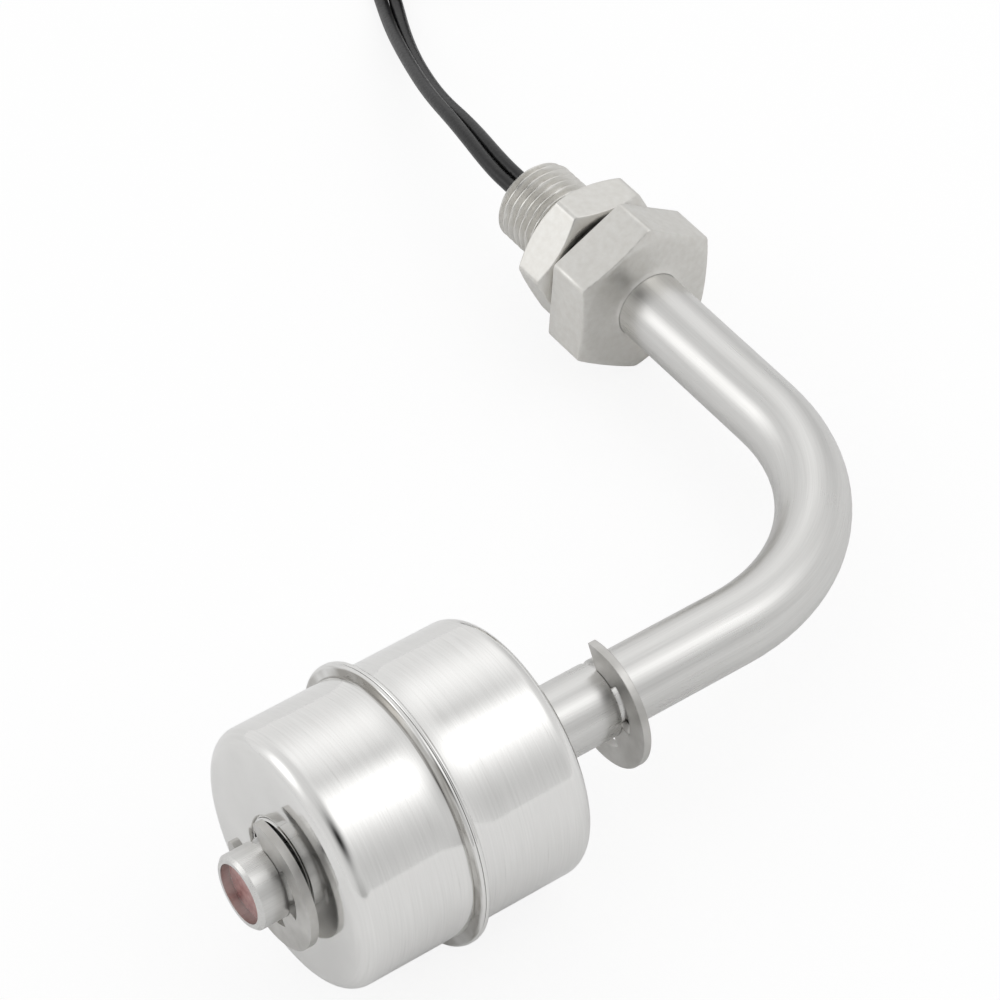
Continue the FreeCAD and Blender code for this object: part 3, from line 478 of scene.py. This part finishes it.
STRIPPED_START, STRIPPED_LENGTH, STRIPPED_RADIUS, STRANDS = -0.0008, 0.0068, 0.00045, 7

insulation, place = start_material("black_insulation", Specular_IOR_Level=0.5)
drag = place.noise(2400, 3)
vary(insulation,
     Base_Color=place.noise(300, 2).ramp([(0.3, (0.004, 0.004, 0.004)), (0.7, (0.010, 0.010, 0.011))]),
     Roughness=drag.spread(0.22, 0.40),
     Normal=drag.bump(0.00005))
tinned, place = start_material("tinned_copper", Metallic=1.0)
strand = place.noise(1500, 2)
vary(tinned,
     Base_Color=strand.ramp([(0.3, (0.50, 0.48, 0.44)), (0.7, (0.78, 0.77, 0.74))]),
     Roughness=strand.spread(0.25, 0.45),
     Normal=strand.bump(0.00005))


def coil_point(layers, angle):
    """A place in the coil: it steps from one layer to the next along one sector of each turn."""
    level = sum(min(max((LAYER_STEP_START - 360 * turn - angle) / LAYER_STEP_SECTOR, 0), 1)
                for turn in range(len(layers) - 1))
    below = min(int(level), len(layers) - 2)
    blend = level - below
    blend = blend * blend * (3 - 2 * blend)
    radius, height = (low + (high - low) * blend for low, high in zip(layers[below], layers[below + 1]))
    radius /= math.cos(math.pi / POINTS_A_TURN)
    turned = math.radians(angle)
    return COIL_CENTRE + Vector((radius * math.cos(turned), radius * math.sin(turned), height))


def stripped_rows(end):
    """Fine strands twisted together from a lead's end on, with a rounded end of their own."""
    rows = []
    for step in range(25):
        run = STRIPPED_START + STRIPPED_LENGTH * step / 24
        swell = STRIPPED_RADIUS * math.sqrt(max(1 - max(run - 0.0056, 0) / 0.00041, 0.02))
        row = []
        for turn in range(28):
            angle = math.tau * turn / 28
            reach = swell * (1 + 0.06 * math.cos(STRANDS * (angle - run * 900)))
            row.append(end + LEAVING * run + BESIDE_LEAVING * reach * math.cos(angle)
                       + Vector((0, 0, 1)) * reach * math.sin(angle))
        rows.append(row)
    return rows


for letter, side in (("a", 1), ("b", -1)):
    lead_exit = arms @ Vector((LEAD_EXIT, LEAD_BESIDE * side, 0))
    points = [lead_exit + across * run for run in (-0.003, 0, 0.004, 0.008)]
    points += [Vector(point) for point in ROUTES[letter]]
    steps = round((COIL_ENTRY - COIL_END) / 360 * POINTS_A_TURN)
    points += [coil_point(COIL_LAYERS[letter], COIL_ENTRY + (COIL_END - COIL_ENTRY) * step / steps)
               for step in range(1, steps + 1)]
    foot = Vector((points[-1].x, points[-1].y, 0))
    points += [foot + LEAVING * run + Vector((0, 0, height)) for run, height in TAILS[letter]]
    curve = bpy.data.curves.new(f"lead_{letter}", "CURVE")
    curve.dimensions = "3D"
    spline = curve.splines.new("NURBS")
    spline.points.add(len(points) - 1)
    for point, spot in zip(spline.points, points):
        point.co = (*spot, 1)
    spline.order_u = 3
    spline.use_endpoint_u = True
    spline.resolution_u = 8
    curve.bevel_depth = LEAD_RADIUS
    curve.bevel_resolution = 5
    curve.use_fill_caps = True
    lead = bpy.data.objects.new(f"free_lead_{letter}", curve)
    scene.collection.objects.link(lead)
    curve.materials.append(insulation)
    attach(lead, "stem")

    tip_mesh = closed_grid(f"stripped_end_{letter}", stripped_rows(points[-1]), False, 80)
    tip = add_piece(f"stripped_end_{letter}", tip_mesh, tinned, "stem")
    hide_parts(f"lead_tip_{letter}")
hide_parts("lead_a")
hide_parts("lead_b")

# ---------------------------------------------------------------- tie of the leads

# One flat plastic tie, pulled tight round all the turns of the coil.
# It is bent to a rounded rectangle, a little larger than the coil's section.
TIE_ANGLE, TIE_OUT, TIE_HEIGHT, TIE_HALF_OUT, TIE_HALF_HIGH = 215, 0.0085, 0.0024, 0.0035, 0.0020
TIE_SECTION = [(0.0, -0.0013), (0.0004, -0.0012), (0.0004, 0.0012), (0.0, 0.0013)]
tie_plastic, place = start_material("tie_plastic")
grain = place.noise(1800, 2)
vary(tie_plastic,
     Base_Color=grain.ramp([(0.3, (0.02, 0.02, 0.02)), (0.7, (0.035, 0.035, 0.036))]),
     Roughness=grain.spread(0.4, 0.6),
     Normal=grain.bump(0.00003))
tie_turned = math.radians(TIE_ANGLE)
ray = Vector((math.cos(tie_turned), math.sin(tie_turned), 0))
tangent = Vector((-math.sin(tie_turned), math.cos(tie_turned), 0))
rows = []
for step in range(48):
    angle = math.tau * step / 48
    out, high = (math.copysign(abs(part) ** 0.6, part) for part in (math.cos(angle), math.sin(angle)))
    rows.append([COIL_CENTRE + ray * (TIE_OUT + (TIE_HALF_OUT + thick) * out) + tangent * half
                 + Vector((0, 0, TIE_HEIGHT + (TIE_HALF_HIGH + thick) * high))
                 for thick, half in TIE_SECTION])
tie = add_piece("lead_tie", closed_grid("lead_tie", rows), tie_plastic, "stem")
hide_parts("lead_coil")

# ---------------------------------------------------------------- studio

# The switch lies on a wide white sheet.  A soft even light surrounds it, with brighter and darker
# fields that the polished steel mirrors, and one large lamp above gives the sheet its shadow.
FLOOR_HALF, FLOOR_LEVEL, FLOOR_GLOW = 4, -0.00002, 0.82
BASE_LIGHT, LIGHT_SLOPE = 0.80, (0.06, 0, -0.08)
LIGHT_FIELDS = (
    # towards, strength, sharpness
    ((-0.35, -0.49, 0.80), 0.86, 16), ((0.54, 0.66, 0.53), 1.0, 28), ((0.53, -0.47, 0.70), 0.32, 16),
    ((-0.60, 0.335, 0.727), -0.70, 16), ((0.07, -0.47, 0.88), -0.18, 90), ((-0.88, -0.42, 0.25), -0.09, 30),
    ((0.45, -0.89, 0.05), -0.20, 18), ((-0.95, 0.25, -0.15), -0.35, 12), ((0.60, 0.60, -0.50), -0.30, 12))
LAMP_PLACE = Vector((-0.75, -0.34, 0.57)) * 0.9

floor_mesh = bpy.data.meshes.new("floor")
floor_mesh.from_pydata([(FLOOR_HALF * x, FLOOR_HALF * y, FLOOR_LEVEL)
                        for x, y in ((-1, -1), (1, -1), (1, 1), (-1, 1))], [], [(0, 1, 2, 3)])
floor = bpy.data.objects.new("floor", floor_mesh)
scene.collection.objects.link(floor)
sheet, place = start_material("floor", Roughness=0.9)
tree = sheet.node_tree
vary(sheet, Base_Color=place.noise(3, 2).ramp([(0.3, (0.93, 0.93, 0.93)), (0.7, (0.95, 0.95, 0.95))]))
matt = Value(tree, tree.nodes["Principled BSDF"].outputs["BSDF"])
shine = place.node("ShaderNodeEmission", {}, {"Color": (1, 1, 1, 1), "Strength": 1.04}, "Emission")
seen = Value(tree, tree.nodes.new("ShaderNodeLightPath").outputs["Is Camera Ray"])
mixed = place.node("ShaderNodeMixShader", {}, {0: seen * FLOOR_GLOW, 1: matt, 2: shine}, "Shader")
tree.links.new(mixed.socket, tree.nodes["Material Output"].inputs["Surface"])
floor_mesh.materials.append(sheet)

world = bpy.data.worlds.new("studio")
world.use_nodes = True
scene.world = world
tree = world.node_tree
direction = Value(tree, tree.nodes.new("ShaderNodeTexCoord").outputs["Generated"])
light = BASE_LIGHT + direction.dot(LIGHT_SLOPE)
for towards, strength, sharpness in LIGHT_FIELDS:
    field = direction.dot(Vector(towards).normalized()).math("MAXIMUM", 0.0).math("POWER", sharpness)
    light = light + field * strength
background = tree.nodes["Background"]
seen = Value(tree, tree.nodes.new("ShaderNodeLightPath").outputs["Is Camera Ray"])
tree.links.new((light + seen * (1.0 - light)).socket, background.inputs["Strength"])
background.inputs["Color"].default_value = (1, 1, 1, 1)

lamp = bpy.data.lights.new("overhead", "AREA")
lamp.shape = "RECTANGLE"
lamp.size, lamp.size_y = 0.5, 0.4
lamp.energy = 0.35
overhead = bpy.data.objects.new("overhead", lamp)
scene.collection.objects.link(overhead)
overhead.location = LAMP_PLACE
overhead.rotation_euler = LAMP_PLACE.to_track_quat("Z", "Y").to_euler()
overhead.visible_camera = False
overhead.visible_glossy = False

camera = bpy.data.objects.new("camera", bpy.data.cameras.new("camera"))
scene.collection.objects.link(camera)
camera.matrix_world = Matrix(((-0.58119, 0.549701, -0.60004, -0.255954),
                              (-0.806519, -0.487239, 0.33478, 0.139076),
                              (-0.108299, 0.678486, 0.726594, 0.326224),
                              (0.0, 0.0, 0.0, 1.0)))
camera.data.lens = 150.95
camera.data.sensor_width = 36
camera.data.clip_start = 0.01
scene.camera = camera
scene.view_settings.view_transform = "Standard"
